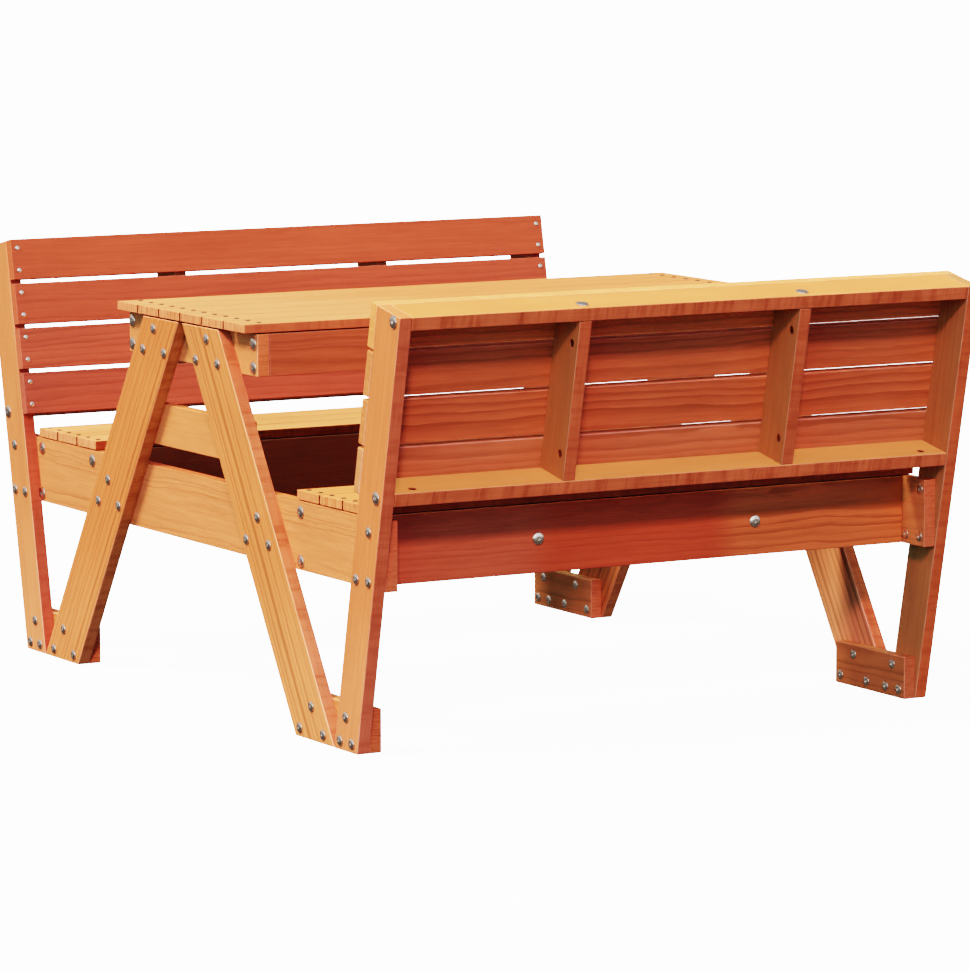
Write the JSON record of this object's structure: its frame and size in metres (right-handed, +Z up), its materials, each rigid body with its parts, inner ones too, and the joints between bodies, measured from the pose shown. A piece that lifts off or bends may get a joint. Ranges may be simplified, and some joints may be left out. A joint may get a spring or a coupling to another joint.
{
  "type": "kids picnic table",
  "caption": "Child-size slatted picnic table with a bench and a leaning slatted backrest on each long side, on A-shaped end frames.",
  "frame": {"origin": "on the ground under the middle of the table", "axes": "+Z up, X along the table and the benches, Y from the near bench (-Y) to the far bench (+Y)"},
  "size_m": [0.8864, 1.2202, 0.5855],
  "materials": {
    "pine": "stained and oiled pine, satin, straight grain with some cathedral figure",
    "steel": "zinc-plated steel, satin"
  },
  "bodies": {
    "root": {"back_divider_far_left": "pine", "back_divider_far_right": "pine", "back_divider_near_left": "pine", "back_divider_near_right": "pine", "back_rail_far_bottom": "pine", "back_rail_far_top": "pine", "back_rail_near_bottom": "pine", "back_rail_near_top": "pine", "back_slat_far_1": "pine", "back_slat_far_2": "pine", "back_slat_far_3": "pine", "back_slat_far_4": "pine", "back_slat_near_1": "pine", "back_slat_near_2": "pine", "back_slat_near_3": "pine", "back_slat_near_4": "pine", "barrel_nut": "steel", "connector_bolt": "steel", "crossbeam_left": "pine", "crossbeam_right": "pine", "foot_block_left_far": "pine", "foot_block_left_near": "pine", "foot_block_right_far": "pine", "foot_block_right_near": "pine", "frame_bolt": "steel", "leg_tie_left": "pine", "leg_tie_right": "pine", "post_left_far": "pine", "post_left_near": "pine", "post_right_far": "pine", "post_right_near": "pine", "seat_apron_far_front": "pine", "seat_apron_far_rear": "pine", "seat_apron_near_front": "pine", "seat_apron_near_rear": "pine", "seat_board_far_1": "pine", "seat_board_far_2": "pine", "seat_board_far_3": "pine", "seat_board_near_1": "pine", "seat_board_near_2": "pine", "seat_board_near_3": "pine", "seat_cleat_far_left": "pine", "seat_cleat_far_right": "pine", "seat_cleat_near_left": "pine", "seat_cleat_near_right": "pine", "table_apron_far": "pine", "table_apron_near": "pine", "table_cleat_left": "pine", "table_cleat_right": "pine", "table_leg_left_far": "pine", "table_leg_left_near": "pine", "table_leg_right_far": "pine", "table_leg_right_near": "pine", "tabletop_board_1": "pine", "tabletop_board_2": "pine", "tabletop_board_3": "pine", "tabletop_board_4": "pine", "tabletop_board_5": "pine", "tabletop_board_6": "pine", "wood_screw": "steel"}
  },
  "joints": []
}
